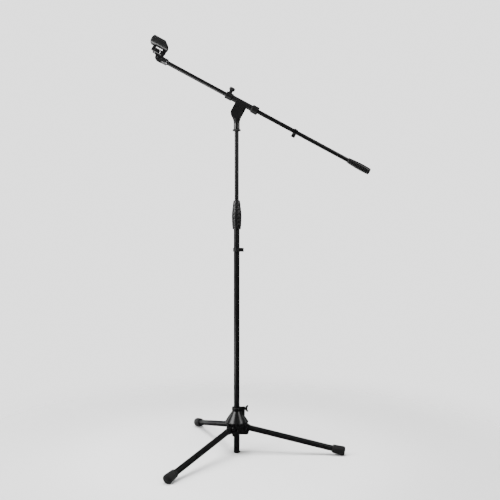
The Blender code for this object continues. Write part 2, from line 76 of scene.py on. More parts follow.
LEGS = ("right", "left", "rear")
LEG_SLOPE = radians(12.7)
LEG_APEX_Z = 104.8 * MM
LEG_TUBE_R = 10.75 * MM
LEG_TUBE_BORE_R = 9.6 * MM
LEG_TUBE_END = 370.2 * MM
FOOT_LENGTH = 46 * MM
LOWER_TUBE_R = 11 * MM
LOWER_TUBE_BORE_R = 9.8 * MM
UPPER_TUBE_R = 8 * MM
SLIM_TUBE_BORE_R = 7 * MM
HUB_BORE_R = 11.3 * MM
RIVET_HOLE_R = 3.1 * MM
LOCK_RING_R = 15.3 * MM
THREAD_HOLE_R = 5.1 * MM
DISC_R = 22.7 * MM
BOLT_HOLE_R = 3.3 * MM
BOOM_R = 8 * MM
BOOM_FRONT = 315 * MM
BOOM_REAR = 541 * MM
BOOM_CLIP_AT = -226 * MM
CLIP_SCREW_HOLE_R = 2.6 * MM
SHELL_RISE = 51 * MM
SHELL_R = 19.3 * MM
SHELL_WALL = 2.4 * MM
LUG_R = 3.7 * MM
LUG_ROOM_R = 4.2 * MM
PIN_R = 1.8 * MM
PIN_HOLE_R = 2.1 * MM
THREAD_PITCH = 1.59 * MM
FINE = 96
FAR = 50 * MM


def leg_turn(name):
    """Where a leg points, round Z from +X."""
    hinge = joint_at(f"leg_fold_{name}")
    return atan2(hinge.y, hinge.x)


def leg_frame(name):
    """Local Z out along the leg, local -X up from it, the origin on the leg's axis beside its rivet."""
    hinge = joint_at(f"leg_fold_{name}")
    reach = hypot(hinge.x, hinge.y)
    rise = (LEG_APEX_Z - hinge.z) * cos(LEG_SLOPE) - reach * sin(LEG_SLOPE)
    turn = Matrix.Rotation(leg_turn(name), 4, "Z")
    tilt = Matrix.Rotation(pi / 2 + LEG_SLOPE, 4, "Y")
    return Matrix.Translation(hinge) @ turn @ tilt @ Matrix.Translation((-rise, 0, 0))


# ---------------------------------------------------------------- shapes

def turned(profile, sides=FINE):
    """Revolve (radius, height) points about Z; the outline closes on itself."""
    bm = bmesh.new()
    rings = []
    for radius, height in profile:
        if radius < 1e-7:
            rings.append([bm.verts.new((0, 0, height))])
            continue
        angles = [2 * pi * k / sides for k in range(sides)]
        rings.append([bm.verts.new((radius * cos(a), radius * sin(a), height)) for a in angles])
    for low, high in zip(rings, rings[1:] + rings[:1]):
        if len(low) == 1 and len(high) == 1:
            continue
        for k in range(sides):
            after = k + 1
            corners = [low[k % len(low)], low[after % len(low)], high[after % len(high)], high[k % len(high)]]
            bm.faces.new(list(dict.fromkeys(corners)))
    return bm


def rounded(points, radius, steps=5):
    """Round every corner of a closed outline by up to the given radius."""
    result = []
    count = len(points)
    for k, point in enumerate(points):
        here = Vector(point)
        before = Vector(points[k - 1])
        after = Vector(points[(k + 1) % count])
        back, onward = before - here, after - here
        if here.x < 1e-7 or back.length < 1e-9 or onward.length < 1e-9:
            result.append(tuple(here))
            continue
        reach = min(radius, back.length * 0.45, onward.length * 0.45)
        start = here + back.normalized() * reach
        end = here + onward.normalized() * reach
        for step in range(steps + 1):
            t = step / steps
            spot = start * (1 - t) ** 2 + here * 2 * t * (1 - t) + end * t ** 2
            result.append((spot.x, spot.y))
    return result


def in_mm(points):
    return [(a * MM, b * MM) for a, b in points]


def softened(points, radius, steps=5):
    """A closed outline given in millimetres, its corners rounded."""
    return rounded(in_mm(points), radius * MM, steps)


def smooth_curve(points, per_span=6):
    """A Catmull-Rom curve through the points, for flowing profiles."""
    ends = [points[0]] + list(points) + [points[-1]]
    result = []
    for a, b, c, d in zip(ends, ends[1:], ends[2:], ends[3:]):
        a, b, c, d = (Vector(p) for p in (a, b, c, d))
        for step in range(per_span):
            t = step / per_span
            bend = (2 * a - 5 * b + 4 * c - d) * t ** 2
            spot = 0.5 * (2 * b + (c - a) * t + bend + (3 * b - a - 3 * c + d) * t ** 3)
            result.append((spot.x, spot.y))
    result.append(tuple(points[-1]))
    return result


def extruded(outline, low, high, plane="XY"):
    """A prism: a closed outline in a plane, extruded from low to high along the third axis."""
    place = {
        "XY": lambda a, b, c: (a, b, c),
        "XZ": lambda a, b, c: (a, c, b),
    }[plane]
    bm = bmesh.new()
    floor = [bm.verts.new(place(a, b, low)) for a, b in outline]
    roof = [bm.verts.new(place(a, b, high)) for a, b in outline]
    bm.faces.new(floor)
    bm.faces.new(roof)
    for k in range(len(outline)):
        after = (k + 1) % len(outline)
        bm.faces.new((floor[k], floor[after], roof[after], roof[k]))
    bmesh.ops.recalc_face_normals(bm, faces=bm.faces)
    return bm


def block(low, high):
    outline = [(low[0], low[1]), (high[0], low[1]), (high[0], high[1]), (low[0], high[1])]
    return extruded(outline, low[2], high[2])


def arc(radius, start, end, steps, centre=(0, 0)):
    angles = [radians(start + (end - start) * k / steps) for k in range(steps + 1)]
    return [(centre[0] + radius * cos(a), centre[1] + radius * sin(a)) for a in angles]


def pipe(inner, outer, low, high, edge=0.5 * MM, sides=FINE):
    """A pipe with rounded rims, or a bar where the inner radius is nothing."""
    outline = [(inner, low), (outer, low), (outer, high), (inner, high)]
    return turned(rounded(outline, edge, 4) if edge else outline, sides)


def drill(radius, low, high, sides=FINE):
    """A plain round bar for cutting a hole."""
    return pipe(0, radius, low, high, 0, sides)


def moved(bm, shift=(0, 0, 0), turn=0.0, axis="Z"):
    bm.transform(Matrix.Translation(shift) @ Matrix.Rotation(turn, 4, axis))
    return bm


def along(axis, bm, across=(0, 0)):
    """Lay a shape made along Z onto X or Y; across is its place on the other two axes."""
    if axis == "X":
        return moved(moved(bm, turn=pi / 2, axis="Y"), (0, across[0], across[1]))
    return moved(moved(bm, turn=-pi / 2, axis="X"), (across[0], 0, across[1]))


def as_object(bm, name="shape"):
    bmesh.ops.recalc_face_normals(bm, faces=bm.faces)
    mesh = bpy.data.meshes.new(name)
    bm.to_mesh(mesh)
    bm.free()
    thing = bpy.data.objects.new(name, mesh)
    bpy.context.collection.objects.link(thing)
    return thing


def apply_modifiers(thing):
    bpy.context.view_layer.update()
    evaluated = thing.evaluated_get(bpy.context.evaluated_depsgraph_get())
    mesh = bpy.data.meshes.new_from_object(evaluated)
    thing.modifiers.clear()
    old = thing.data
    thing.data = mesh
    bpy.data.meshes.remove(old)
    return thing


def combined(thing, bm, operation):
    tool = as_object(bm, "tool")
    modifier = thing.modifiers.new("combine", "BOOLEAN")
    modifier.operation = operation
    modifier.solver = "EXACT"
    modifier.object = tool
    apply_modifiers(thing)
    discard(tool)
    return thing


def discard(thing):
    mesh = thing.data
    bpy.data.objects.remove(thing, do_unlink=True)
    bpy.data.meshes.remove(mesh)


def as_bmesh(thing):
    """The object's mesh as a bmesh; the object is gone."""
    bm = bmesh.new()
    bm.from_mesh(thing.data)
    discard(thing)
    return bm


def moulding(adds, cuts=(), voxel=0.5 * MM, softness=4, keep=0.35):
    """Shapes fused and cut like one moulding, its corners eased as a mould leaves them; a bmesh."""
    thing = as_object(adds[0])
    for shape in adds[1:]:
        combined(thing, shape, "UNION")
    for shape in cuts:
        combined(thing, shape, "DIFFERENCE")
    remesh = thing.modifiers.new("remesh", "REMESH")
    remesh.mode = "VOXEL"
    remesh.voxel_size = voxel
    smooth = thing.modifiers.new("smooth", "SMOOTH")
    smooth.factor = 0.5
    smooth.iterations = softness
    thin = thing.modifiers.new("thin", "DECIMATE")
    thin.ratio = keep
    return as_bmesh(apply_modifiers(thing))


# ---------------------------------------------------------------- materials

def finish_of(name, colour, roughness, metallic=0.0, grain=0.8, depth=0.03, uneven=0.05, tint=0.25,
              worn=0.0, sheen=0.0, fine=None, gloss=0.22):
    """A procedural finish. Grain is the size of the surface's fine relief and depth its height, both in
    millimetres, and fine is a second, broader relief. Uneven is how much the roughness wanders, tint how much
    the colour does, and worn how pale the proud edges are."""
    made = bpy.data.materials.new(name)
    made.use_nodes = True
    tree = made.node_tree
    nodes, links = tree.nodes, tree.links
    shader = nodes["Principled BSDF"]
    shader.inputs["Metallic"].default_value = metallic
    shader.inputs["Specular IOR Level"].default_value = 0.5 if metallic else gloss
    shader.inputs["Sheen Weight"].default_value = sheen
    shader.inputs["Sheen Roughness"].default_value = 0.5
    place = nodes.new("ShaderNodeTexCoord")

    def noise(size_mm, detail, rough=0.5):
        texture = nodes.new("ShaderNodeTexNoise")
        texture.inputs["Scale"].default_value = 1000 / size_mm
        texture.inputs["Detail"].default_value = detail
        texture.inputs["Roughness"].default_value = rough
        links.new(place.outputs["Object"], texture.inputs["Vector"])
        return texture.outputs["Fac"]

    def spread(value, low, high, source=(0.3, 0.7)):
        ranged = nodes.new("ShaderNodeMapRange")
        ranged.inputs["From Min"].default_value = source[0]
        ranged.inputs["From Max"].default_value = source[1]
        ranged.inputs["To Min"].default_value = low
        ranged.inputs["To Max"].default_value = high
        links.new(value, ranged.inputs["Value"])
        return ranged.outputs["Result"]

    def blended(factor, first, second):
        mix = nodes.new("ShaderNodeMix")
        mix.data_type = "RGBA"
        links.new(factor, mix.inputs["Factor"])
        for socket, value in ((mix.inputs[6], first), (mix.inputs[7], second)):
            if isinstance(value, tuple):
                socket.default_value = (*value, 1)
            else:
                links.new(value, socket)
        return mix.outputs[2]

    def relief(value, height_mm, under=None):
        bump = nodes.new("ShaderNodeBump")
        bump.inputs["Strength"].default_value = 1.0
        bump.inputs["Distance"].default_value = height_mm * MM
        links.new(value, bump.inputs["Height"])
        if under:
            links.new(under, bump.inputs["Normal"])
        return bump.outputs["Normal"]

    clouds = noise(38, 3)
    dark = tuple(c * (1 - tint) for c in colour)
    light = tuple(c * (1 + tint) for c in colour)
    shade = blended(spread(clouds, 0, 1), dark, light)
    flecks = noise(max(grain * 0.7, 0.35), 2)
    shade = blended(spread(flecks, 0, tint, (0.35, 0.75)), shade, light)
    if worn:
        geometry = nodes.new("ShaderNodeNewGeometry")
        edges = spread(geometry.outputs["Pointiness"], 0, worn, (0.53, 0.62))
        pale = tuple(min(1, c * 3 + 0.03) for c in colour)
        shade = blended(edges, shade, pale)
    links.new(shade, shader.inputs["Base Color"])
    wander = spread(noise(16, 4, 0.6), roughness - uneven, roughness + uneven)
    links.new(wander, shader.inputs["Roughness"])
    surface = relief(noise(grain, 2), depth)
    if fine:
        size_mm, height_mm = fine
        surface = relief(noise(size_mm, 1), height_mm, surface)
    links.new(surface, shader.inputs["Normal"])
    return made


POWDER_COAT = finish_of("powder_coated_tube", (0.004, 0.004, 0.0042), 0.3, grain=1.1, depth=0.02,
                        uneven=0.04, tint=0.2)
HUB_GLOSS = finish_of("hub_gloss_plastic", (0.004, 0.004, 0.0042), 0.24, grain=2.2, depth=0.02,
                      uneven=0.04, tint=0.2, worn=0.15, gloss=0.35)
SOCKET_GLOSS = finish_of("socket_gloss_black", (0.004, 0.004, 0.0042), 0.15, grain=2.2, depth=0.008,
                         uneven=0.04, tint=0.2, gloss=0.5)
HEAD_PLASTIC = finish_of("head_textured_plastic", (0.004, 0.004, 0.0042), 0.48, grain=0.45, depth=0.02,
                         uneven=0.05, tint=0.25, worn=0.2, fine=(2.4, 0.02), gloss=0.22)
KNOB_PLASTIC = finish_of("knob_textured_plastic", (0.009, 0.009, 0.0095), 0.48, grain=0.4, depth=0.05,
                         uneven=0.06, tint=0.25, worn=0.35)
CLIP_PLASTIC = finish_of("clip_satin_plastic", (0.005, 0.005, 0.0053), 0.33, grain=0.8, depth=0.015,
                         uneven=0.05, tint=0.2, worn=0.2, gloss=0.5)
RUBBER = finish_of("soft_rubber", (0.005, 0.005, 0.0051), 0.6, grain=0.35, depth=0.06,
                   uneven=0.08, tint=0.3, sheen=0.08, fine=(3.5, 0.08))
GRIP_RUBBER = finish_of("grip_rubber", (0.004, 0.004, 0.0042), 0.34, grain=0.4, depth=0.02,
                        uneven=0.06, tint=0.3, gloss=0.35)
STEEL = finish_of("bright_steel", (0.62, 0.62, 0.63), 0.24, metallic=1.0, grain=0.5, depth=0.01,
                  uneven=0.07, tint=0.06)
DULL_STEEL = finish_of("dull_steel", (0.16, 0.16, 0.165), 0.42, metallic=1.0, grain=0.5, depth=0.015,
                       uneven=0.08, tint=0.15)
DARK_STEEL = finish_of("black_oxide_steel", (0.07, 0.07, 0.075), 0.36, metallic=1.0, grain=0.5, depth=0.015,
                       uneven=0.08, tint=0.2, worn=0.2)
BRASS = finish_of("turned_brass", (0.72, 0.52, 0.22), 0.28, metallic=1.0, grain=0.5, depth=0.01,
                  uneven=0.07, tint=0.1)


def piece(name, bm, finish, body, *nodes, place=None, sharp=40):
    """Finish one visible piece: its mesh in the shared frame, its material, its body and its CAD nodes."""
    if place is not None:
        bm.transform(place)
    thing = as_object(bm, name)
    thing.data.materials.clear()
    thing.data.materials.append(finish)
    thing.data.shade_smooth()
    thing.data.set_sharp_from_angle(angle=radians(sharp))
    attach(thing, body)
    if nodes:
        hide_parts(*nodes)
    return thing


# ---------------------------------------------------------------- tubes

def build_tubes():
    low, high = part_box("lower_tube")
    lower = pipe(LOWER_TUBE_BORE_R, LOWER_TUBE_R, low[2], high[2])
    piece("lower_tube_skin", lower, POWDER_COAT, "pole", "lower_tube")
    low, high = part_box("upper_tube")
    upper = pipe(SLIM_TUBE_BORE_R, UPPER_TUBE_R, low[2], high[2])
    piece("upper_tube_skin", upper, POWDER_COAT, "upper_pole", "upper_tube")
    boom = pipe(SLIM_TUBE_BORE_R, BOOM_R, -BOOM_REAR + 6 * MM, BOOM_FRONT)
    piece("boom_tube_skin", boom, POWDER_COAT, "boom", "boom_tube", place=BOOM_AXIS)
    for name in LEGS:
        leg = pipe(LEG_TUBE_BORE_R, LEG_TUBE_R, 12.3 * MM, LEG_TUBE_END)
        piece(f"leg_{name}_skin", leg, POWDER_COAT, f"leg_{name}", f"leg_tube_{name}", place=leg_frame(name))


# ---------------------------------------------------------------- tripod

def build_hub():
    """The cone with its collar and the lug for the wing bolt, then the yoke under it."""
    bolt_z = joint_at("wing_bolt_turn").z
    shell = turned(softened([(0, 115), (44, 115), (44, 118.4), (42.6, 119.6), (17.4, 156.6), (16.9, 158.6),
                             (18.3, 160.2), (18.3, 169.6), (17, 171), (0, 171)], 0.8, 3))
    lug = extruded(softened([(12, 134), (31, 141), (31, 171.6), (12, 171.6)], 2.5), -6.5 * MM, 6.5 * MM, "XZ")
    boss = along("X", pipe(0, 6.4 * MM, 14 * MM, 31.1 * MM, 0.6 * MM, 48), (0, bolt_z))
    cavity = turned(in_mm([(0, 110), (38, 110), (38, 117.6), (11.6, 149.4), (0, 149.4)]))
    bore = drill(HUB_BORE_R, 100 * MM, 200 * MM)
    tapped = along("X", drill(BOLT_HOLE_R, 5 * MM, 45 * MM, 32), (0, bolt_z))
    cone = moulding([shell, lug, boss], [cavity, bore, tapped], 0.5 * MM, 3, 0.4)
    piece("hub_cone_shell", cone, HUB_GLOSS, "hub", "hub_cone", sharp=60)
    build_yoke()
    piece("wing_bolt_moulding", wing_bolt(), KNOB_PLASTIC, "wing_bolt", "wing_bolt",
          place=Matrix.Translation((0, 0, bolt_z)), sharp=60)


def build_yoke():
    """The drum under the cone with three forked brackets, and a pocket round each rivet head."""
    drum = softened([(0, 80), (37, 80), (38, 82), (38, 113.4), (37, 114.7), (0, 114.7)], 1, 3)
    cheek = softened([(12, 72), (41, 72), (46, 77), (46, 103), (41, 108), (12, 108)], 3, 4)
    adds = [turned(drum)]
    cuts = [drill(HUB_BORE_R, 50 * MM, 150 * MM)]
    for name in LEGS:
        hinge, turn = joint_at(f"leg_fold_{name}"), leg_turn(name)
        reach = hypot(hinge.x, hinge.y)
        adds.append(moved(extruded(cheek, -15 * MM, 15 * MM, "XZ"), turn=turn))
        fork = block((18.2 * MM, -11.3 * MM, 50 * MM), (80 * MM, 11.3 * MM, 112 * MM))
        cuts.append(moved(fork, turn=turn))
        for start, end in ((-26, -14.8), (14.8, 26)):
            pocket = along("Y", drill(5.6 * MM, start * MM, end * MM, 32), (reach, hinge.z))
            cuts.append(moved(pocket, turn=turn))
    yoke = moulding(adds, cuts, 0.55 * MM, 3, 0.4)
    piece("hub_yoke_moulding", yoke, HUB_GLOSS, "hub", "hub_yoke", sharp=60)


def wing_bolt():
    """A moulded wing head on a short boss; the two wings flare out along the bolt's axis."""
    wing = [(31.6, 0), (31.6, 5), (34, 8.6), (38.6, 12.2), (42.4, 13), (43.8, 11.4), (43.4, 8.6), (40.4, 4),
            (39.6, 0)]
    upper = extruded(softened(wing, 1.5, 3), -2.1 * MM, 2.1 * MM, "XZ")
    lower = extruded(softened([(x, -z) for x, z in wing], 1.5, 3), -2.1 * MM, 2.1 * MM, "XZ")
    boss = along("X", pipe(0, 5 * MM, 31.5 * MM, 40.2 * MM, 1 * MM, 40))
    shank = along("X", pipe(0, 3 * MM, 13.6 * MM, 34 * MM, 0.4 * MM, 32))
    return moulding([boss, upper, lower, shank], (), 0.3 * MM, 4, 0.5)


def foot_mesh(name):
    """A pushed-on rubber foot: a sleeve that widens to a blunt end, flat where it meets the floor."""
    low = LEG_TUBE_END + 5 * MM - FOOT_LENGTH
    outer = [(12.8, 0), (14.5, 0.7), (15, 2)]
    for rib in range(3):
        at = 4.2 + rib * 3.6
        radius = 15.05 + at * 0.05
        outer += [(radius, at), (radius - 0.45, at + 0.6), (radius - 0.45, at + 1.2), (radius, at + 1.8)]
    outer += [(15.9, 18), (16.6, 28), (17, 34), (17, 39.6), (16.6, 42.4), (15.4, 44.8), (13.4, 46), (0, 46)]
    inner = [(0, 41.3), (11.05, 41.3), (11.05, 0.4), (11.6, 0)]
    profile = [(r, low + z) for r, z in in_mm(outer + inner)]
    foot = turned(profile, 80)
    foot.transform(leg_frame(name))
    everything = foot.verts[:] + foot.edges[:] + foot.faces[:]
    trimmed = bmesh.ops.bisect_plane(foot, geom=everything, plane_co=(0, 0, 0), plane_no=(0, 0, -1),
                                     clear_outer=True)
    rim = [edge for edge in trimmed["geom_cut"] if isinstance(edge, bmesh.types.BMEdge)]
    bmesh.ops.edgeloop_fill(foot, edges=rim)
    return foot


def build_legs():
    """Each leg's end bracket, its rubber foot and its rivet through the yoke."""
    swing = 15.2
    rim = [(-swing, 12)] + [(-swing * cos(a), -swing * sin(a)) for a in np.linspace(0, pi / 2, 16)]
    rim += [(8, -11), (8, 12)]
    rivet = softened([(0, -17.5), (3.4, -17.4), (5, -16.6), (5, -15.3), (2.8, -15.3), (2.8, 15.3), (5, 15.3),
                      (5, 16.6), (3.4, 17.4), (0, 17.5)], 0.5, 3)
    for name in LEGS:
        frame_here = leg_frame(name)
        hinge = joint_at(f"leg_fold_{name}")
        rise = (frame_here.inverted() @ hinge).x
        outline = softened([(x + rise / MM, z) for x, z in rim], 1.2, 3)
        knuckle = extruded(outline, -10.9 * MM, 10.9 * MM, "XZ")
        spigot = pipe(0, 9.3 * MM, 10 * MM, 42 * MM, 0.8 * MM, 48)
        eye = along("Y", drill(RIVET_HOLE_R, -20 * MM, 20 * MM, 32), (rise, 0))
        end = moulding([knuckle, spigot], [eye], 0.5 * MM, 3, 0.35)
        piece(f"leg_{name}_knuckle", end, HEAD_PLASTIC, f"leg_{name}", f"leg_end_{name}", place=frame_here,
              sharp=60)
        piece(f"foot_{name}_rubber", foot_mesh(name), RUBBER, f"leg_{name}", f"foot_{name}")
        place = Matrix.Translation(hinge) @ Matrix.Rotation(leg_turn(name), 4, "Z")
        pin = along("Y", turned(rivet, 40))
        piece(f"rivet_{name}", pin, DARK_STEEL, "hub", f"leg_rivet_{name}", place=place)


# ---------------------------------------------------------------- grips and pole fittings

def dimpled_grip(outline, inner, columns, pitch, depth, half_width, half_height, sides=200, rows=230):
    """A moulded grip: a flowing profile with staggered rows of soft oval dimples pressed into it."""
    curve = smooth_curve(outline, 12)
    spans = [hypot(b[0] - a[0], b[1] - a[1]) for a, b in zip(curve, curve[1:])]
    lengths = np.concatenate([[0], np.cumsum(spans)])
    steps = np.linspace(0, lengths[-1], rows)
    radii = np.interp(steps, lengths, [p[0] for p in curve])
    heights = np.interp(steps, lengths, [p[1] for p in curve])
    bottom, top = heights.min(), heights.max()
    centres = [(column, bottom + pitch * (row + 0.5 * (column % 2)) + pitch * 0.55)
               for column in range(columns) for row in range(int((top - bottom) / pitch) + 1)]
    centres = [(c, z) for c, z in centres if bottom + half_height < z < top - half_height]

    def pressed(angle, radius, height):
        """How far the nearest dimple is pressed in at one point of the skin."""
        press = 0.0
        for column, z in centres:
            across = (angle - 2 * pi * column / columns + pi) % (2 * pi) - pi
            width, rise = across * max(radius, 6 * MM) / half_width, (height - z) / half_height
            reach = width ** 2 + rise ** 2
            if reach < 1:
                press = max(press, depth * (1 - reach * reach))
        return press

    bm = bmesh.new()
    angles = [2 * pi * k / sides for k in range(sides)]
    thinnest = inner[0][0] + 0.6 * MM
    rings = []
    for radius, height in zip(radii, heights):
        reaches = [max(radius - pressed(a, radius, height), thinnest) for a in angles]
        rings.append([bm.verts.new((r * cos(a), r * sin(a), height)) for r, a in zip(reaches, angles)])
    for radius, height in inner:
        rings.append([bm.verts.new((radius * cos(a), radius * sin(a), height)) for a in angles])
    for low, high in zip(rings, rings[1:] + rings[:1]):
        for k in range(sides):
            after = (k + 1) % sides
            bm.faces.new((low[k], low[after], high[after], high[k]))
    return bm


def build_clutch():
    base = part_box("clutch_grip")[0][2]
    outline = [(13.9, 0), (15.2, 0.7), (15.7, 3), (16.2, 6), (17.4, 20), (18.3, 38), (18.5, 48), (17.8, 64),
               (16, 79), (14.4, 94), (13.2, 103), (12.4, 106.6), (10.6, 108)]
    hollow = [(8.5, 107.6), (8.5, 100), (12.9, 86), (13.65, 66), (13.65, 3), (12.2, 0.2)]
    outline = [(r * MM, base + z * MM) for r, z in outline]
    hollow = [(r * MM, base + z * MM) for r, z in hollow]
    grip = dimpled_grip(outline, hollow, 12, 15.6 * MM, 1.0 * MM, 3.5 * MM, 5.4 * MM)
    piece("clutch_grip_rubber", grip, GRIP_RUBBER, "clutch_grip", "clutch_grip", sharp=70)


def cable_clip_mesh(tube_r, ring_r, half_height, reach, half_width):
    """An open ring that snaps on a tube, with a stub that holds a cable in an open channel."""
    inner, mouth, corner = tube_r + 0.2 * MM, 5 * MM, 1.6 * MM
    channel_x, channel_r, slot = reach - 5.4 * MM, 3.6 * MM, 2.2 * MM
    mouth_out, mouth_in = degrees(acos(mouth / ring_r)), degrees(acos(mouth / inner))
    root, lip = degrees(asin(half_width / ring_r)), degrees(acos(slot / channel_r))
    section = arc(ring_r, 180 - mouth_out, 360 - root, 60)
    section += arc(corner, -90, 0, 4, centre=(reach - corner, corner - half_width))
    section += arc(corner, 0, 90, 4, centre=(reach - corner, half_width - corner))
    section += [(channel_x + slot, half_width)]
    section += arc(channel_r, lip, -180 - lip, 24, centre=(channel_x, 0))
    section += [(channel_x - slot, half_width)]
    section += arc(ring_r, root, mouth_out, 12)
    section += arc(inner, mouth_in, -180 - mouth_in, 80)
    return moulding([extruded(section, -half_height, half_height)], (), 0.3 * MM, 4, 0.5)


def build_cable_clips():
    low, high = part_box("pole_cable_clip")
    place = Matrix.Translation((0, 0, (low[2] + high[2]) / 2))
    clip = cable_clip_mesh(LOWER_TUBE_R, 14 * MM, 7.3 * MM, 26.4 * MM, 5 * MM)
    piece("pole_cable_clip_moulding", clip, CLIP_PLASTIC, "pole_cable_clip", "pole_cable_clip", place=place,
          sharp=60)
    place = BOOM_AXIS @ Matrix.Translation((0, 0, BOOM_CLIP_AT)) @ Matrix.Rotation(pi, 4, "Z")
    clip = cable_clip_mesh(BOOM_R, 10.6 * MM, 7.5 * MM, 22.6 * MM, 5.5 * MM)
    piece("boom_cable_clip_moulding", clip, CLIP_PLASTIC, "boom_cable_clip", "boom_cable_clip", place=place,
          sharp=60)


def build_pole_ends():
    """The plug in the pole's foot with its stop tab, and the knurled lock ring under the head."""
    cap = turned(softened([(0, 0), (9.4, 0), (11, 1.6), (11, 6.7), (9.5, 6.7), (9.5, 22), (0, 22)], 0.8, 4))
    tab_outline = softened([(8, 2.4), (13, 2.4), (14, 4.5), (13, 6.5), (8, 6.5)], 0.8, 3)
    tab = extruded(tab_outline, -2.5 * MM, 2.5 * MM, "XZ")
    plug = moulding([cap, tab], (), 0.35 * MM, 3, 0.5)
    piece("pole_end_plug", plug, HEAD_PLASTIC, "pole", "pole_end_cap", sharp=60)
    low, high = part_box("lock_ring")
    ridges, sides_per_ridge, ridge_depth = 30, 6, 0.5 * MM
    rim = []
    for k in range(ridges * sides_per_ridge):
        angle = 2 * pi * k / (ridges * sides_per_ridge)
        wave = 0.5 + 0.5 * cos(k * 2 * pi / sides_per_ridge)
        radius = LOCK_RING_R - ridge_depth * (1 - wave)
        rim.append((radius * cos(angle), radius * sin(angle)))
    bore = drill(THREAD_HOLE_R, 1, 1.3, 48)
    ring = moulding([extruded(rim, low[2], high[2])], [bore], 0.3 * MM, 3, 0.5)
    piece("lock_ring_moulding", ring, KNOB_PLASTIC, "lock_ring", "lock_ring", sharp=60)


# ---------------------------------------------------------------- tilt head

def build_neck():
    """The head's lower half: a socket on the thread that widens into the front disc."""
    flare = smooth_curve([(11.2, 1231), (12.2, 1238), (14.6, 1245), (17.6, 1252), (20.4, 1259), (22.2, 1266),
                          (22.4, 1272)], 5)
    profile = in_mm([(0, 1206.8), (10.6, 1206.8), (11.2, 1207.6)] + flare + [(0, 1272)])
    disc = along("Y", pipe(0, DISC_R, -14 * MM, -2 * MM, 1.6 * MM), (0, PIVOT.z))
    behind = block((-FAR, -1.3 * MM, 1244.5 * MM), (FAR, FAR, 1.3))
    before = block((-FAR, -FAR, 1.2), (FAR, -14 * MM, 1.3))
    bolt_hole = along("Y", drill(BOLT_HOLE_R, -10.3 * MM, 5 * MM, 40), (0, PIVOT.z))
    stud_hole = drill(THREAD_HOLE_R, 1.19, 1.226, 48)
    neck = moulding([turned(profile), disc], [behind, before, bolt_hole, stud_hole], 0.45 * MM, 5, 0.4)
    piece("head_neck_moulding", neck, HEAD_PLASTIC, "head", "head_neck", sharp=60)
    socket = pipe(10.6 * MM, 11.45 * MM, 1206.8 * MM, 1229.5 * MM, 0.3 * MM)
    piece("head_neck_socket", socket, SOCKET_GLOSS, "head")


def build_boom_clamp():
    """The rear disc, the saddle over the front disc and the long sleeve with its two end blocks."""
    half, top = 22.6, BOOM_RISE / MM - 1.3
    slab = arc(22.7, 90, 270, 40) + [(top, -half), (top, half)]
    saddle = arc(23.6, -41, 73, 40) + [(top + 0.4, half - 0.2), (top + 0.4, -half + 0.2)]
    sleeve = softened([(0, -68), (13, -68), (15.5, -65.5), (15.5, -43.5), (13, -41), (11.2, -41),
                       (11.2, 40.6), (12.4, 40.6), (13.6, 41.8), (13.6, 66.5), (12.1, 68), (0, 68)], 0.8, 3)
    boss = pipe(0, 6.8 * MM, BOOM_RISE + 8 * MM, BOOM_RISE + 20.3 * MM, 0.6 * MM, 48)
    adds = [extruded(in_mm(slab), 0.3 * MM, 13 * MM, "XZ"),
            extruded(in_mm(saddle), -12.8 * MM, 0.8 * MM, "XZ"),
            moved(turned(sleeve), (BOOM_RISE, 0, 0)), along("X", boss, (0, LOCK_AHEAD))]
    tapped = drill(2.9 * MM, BOOM_RISE + 3 * MM, BOOM_RISE + 40 * MM, 30)
    cuts = [along("X", tapped, (0, LOCK_AHEAD)), along("Y", drill(BOLT_HOLE_R, -5 * MM, 20 * MM, 40)),
            moved(drill(8.35 * MM, -0.1, 0.1), (BOOM_RISE, 0, 0))]
    clamp = moulding(adds, cuts, 0.5 * MM, 4, 0.4)
    piece("boom_clamp_moulding", clamp, HEAD_PLASTIC, "boom_holder", "boom_clamp", place=BOOM_FRAME, sharp=60)


def lobed(radius, depth, lobes, low, high, crown, sides_per_lobe=14):
    """A hand knob along Z: its rim waves in and out and the edges of both its faces are rounded."""
    count = lobes * sides_per_lobe
    edge = [(crown * (1 - cos(a)), crown * (1 - sin(a))) for a in np.linspace(0, pi / 2, 6)]
    stations = [(low + sunk, inset) for inset, sunk in reversed(edge)]
    stations += [(high - sunk, inset) for inset, sunk in edge]
    bm = bmesh.new()
    rings = []
    for height, inset in stations:
        ring = []
        for k in range(count):
            wave = 0.5 - 0.5 * cos(2 * pi * k / sides_per_lobe)
            reach = radius - depth * wave - inset
            angle = 2 * pi * k / count
            ring.append(bm.verts.new((reach * cos(angle), reach * sin(angle), height)))
        rings.append(ring)
    for first, second in zip(rings, rings[1:]):
        for k in range(count):
            after = (k + 1) % count
            bm.faces.new((first[k], first[after], second[after], second[k]))
    bm.faces.new(rings[0])
    bm.faces.new(rings[-1])
    bmesh.ops.recalc_face_normals(bm, faces=bm.faces)
    return bm


